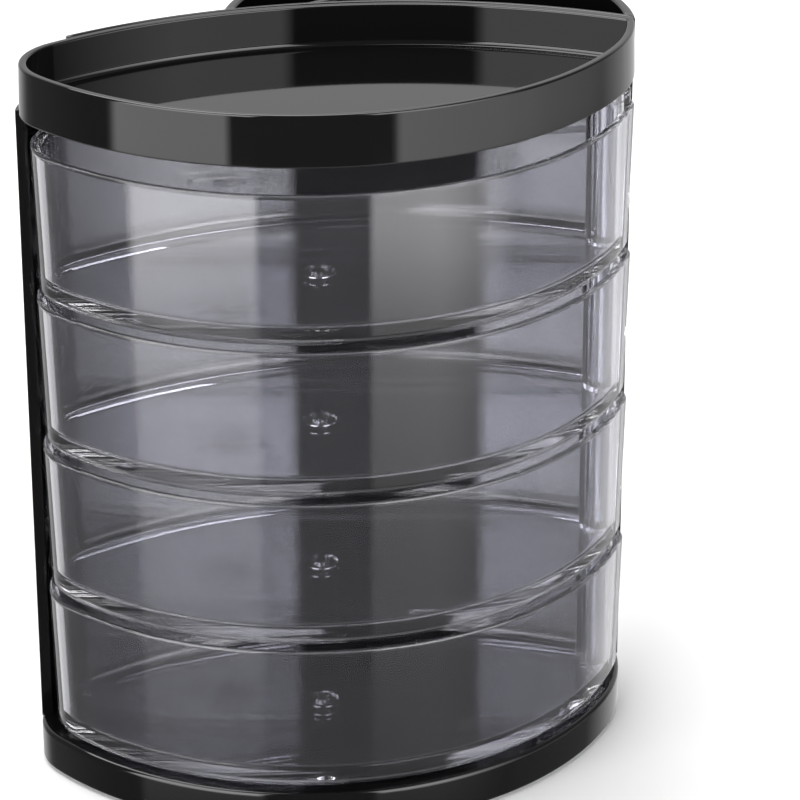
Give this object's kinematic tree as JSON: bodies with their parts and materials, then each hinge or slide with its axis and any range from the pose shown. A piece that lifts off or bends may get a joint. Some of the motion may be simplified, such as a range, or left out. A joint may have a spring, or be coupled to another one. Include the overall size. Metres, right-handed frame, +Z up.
{
  "type": "pen holder with swivel drawers",
  "caption": "Desk pen holder: glossy black round pen cup with divider, shallow tray on top and a stack of clear drawers that swing out on one steel pin.",
  "frame": {"origin": "on the desk under the middle of the outline seen from above", "axes": "+Z up, -Y to the side where the drawers show, +X towards the hinge pin"},
  "size_m": [0.094, 0.0704, 0.1144],
  "materials": {
    "black_plastic": "high gloss black",
    "clear_plastic": "crystal clear, polished",
    "steel": "plain drawn steel",
    "foot_rubber": "matt"
  },
  "bodies": {
    "holder": {"base": "black_plastic", "base_cover": "black_plastic", "pen_cup": "black_plastic", "top_tray": "black_plastic", "pivot_pin": "steel", "base_screws": "steel", "cover_screws": "steel", "foot_1": "foot_rubber", "foot_2": "foot_rubber", "foot_3": "foot_rubber", "foot_4": "foot_rubber"},
    "drawer_1": {"drawer_1": "clear_plastic"},
    "drawer_2": {"drawer_2": "clear_plastic"},
    "drawer_3": {"drawer_3": "clear_plastic"},
    "drawer_4": {"drawer_4": "clear_plastic"}
  },
  "joints": [
    {"name": "drawer_1_swing", "type": "hinge", "parent": "holder", "child": "drawer_1", "pos_m": [0.04162, -0.00482, 0.007], "axis": [0, 0, 1], "range_deg": [0, 105]},
    {"name": "drawer_2_swing", "type": "hinge", "parent": "holder", "child": "drawer_2", "pos_m": [0.04162, -0.00482, 0.031], "axis": [0, 0, 1], "range_deg": [0, 105]},
    {"name": "drawer_3_swing", "type": "hinge", "parent": "holder", "child": "drawer_3", "pos_m": [0.04162, -0.00482, 0.055], "axis": [0, 0, 1], "range_deg": [0, 105]},
    {"name": "drawer_4_swing", "type": "hinge", "parent": "holder", "child": "drawer_4", "pos_m": [0.04162, -0.00482, 0.079], "axis": [0, 0, 1], "range_deg": [0, 105]}
  ]
}
